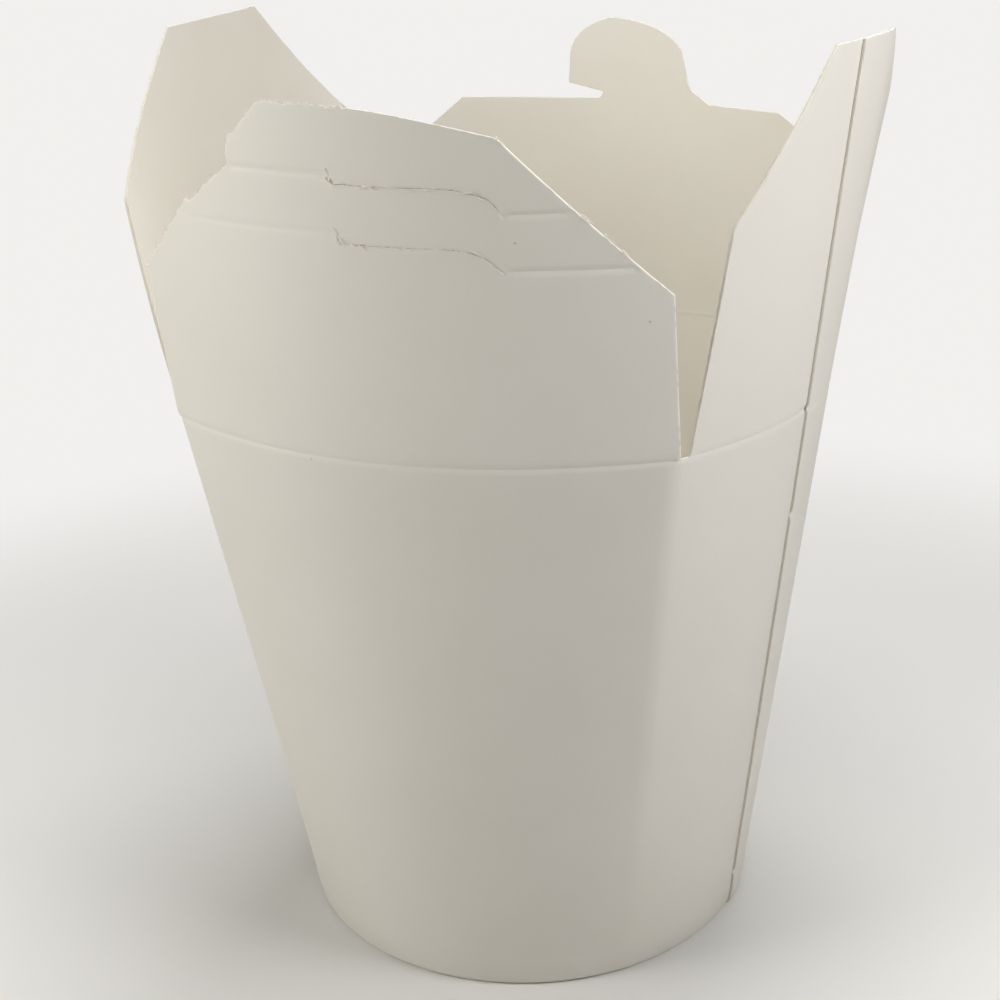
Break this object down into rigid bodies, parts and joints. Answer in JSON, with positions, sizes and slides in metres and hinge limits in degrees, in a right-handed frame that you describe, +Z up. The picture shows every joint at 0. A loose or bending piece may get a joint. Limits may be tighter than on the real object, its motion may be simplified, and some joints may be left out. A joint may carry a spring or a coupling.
{
  "type": "noodle takeaway box",
  "caption": "Empty paperboard takeaway box for noodles: round base, tapered wall glued at a seam, bowed crease and hinged closing flaps, one with a hooked tab.",
  "frame": {"origin": "middle of the open box's outline, on the plane that the box stands on; the centre of its round foot is 3.5 mm to the left of it", "axes": "+Z up, front panel with the two tab slits facing -Y, right panel with the glued seam facing +X, back panel with the hooked tab facing +Y"},
  "size_m": [0.1186, 0.1171, 0.1634],
  "materials": {
    "outer_board": "matt, slightly warm pale grey paperboard, as on the wall's outside",
    "flap_board": "matt pale paperboard with cut edges a little brighter than the faces",
    "inner_board": "coated inside of the paperboard, slightly glossy cream"
  },
  "bodies": {
    "box": {"wall": "outer_board", "base": "inner_board"},
    "front_flap": {"front_flap": "flap_board"},
    "right_flap": {"right_flap": "flap_board"},
    "back_flap": {"back_flap": "flap_board"},
    "left_flap": {"left_flap": "flap_board"}
  },
  "joints": [
    {"name": "front_fold", "type": "hinge", "parent": "box", "child": "front_flap", "pos_m": [-0.0035, -0.0416, 0.1013], "axis": [-1, 0, 0], "range_deg": [0, 50]},
    {"name": "right_fold", "type": "hinge", "parent": "box", "child": "right_flap", "pos_m": [0.0381, 0, 0.1013], "axis": [0, -1, 0], "range_deg": [0, 88]},
    {"name": "back_fold", "type": "hinge", "parent": "box", "child": "back_flap", "pos_m": [-0.0035, 0.0416, 0.1013], "axis": [1, 0, 0], "range_deg": [0, 50]},
    {"name": "left_fold", "type": "hinge", "parent": "box", "child": "left_flap", "pos_m": [-0.0451, 0, 0.1013], "axis": [0, 1, 0], "range_deg": [0, 100]}
  ]
}
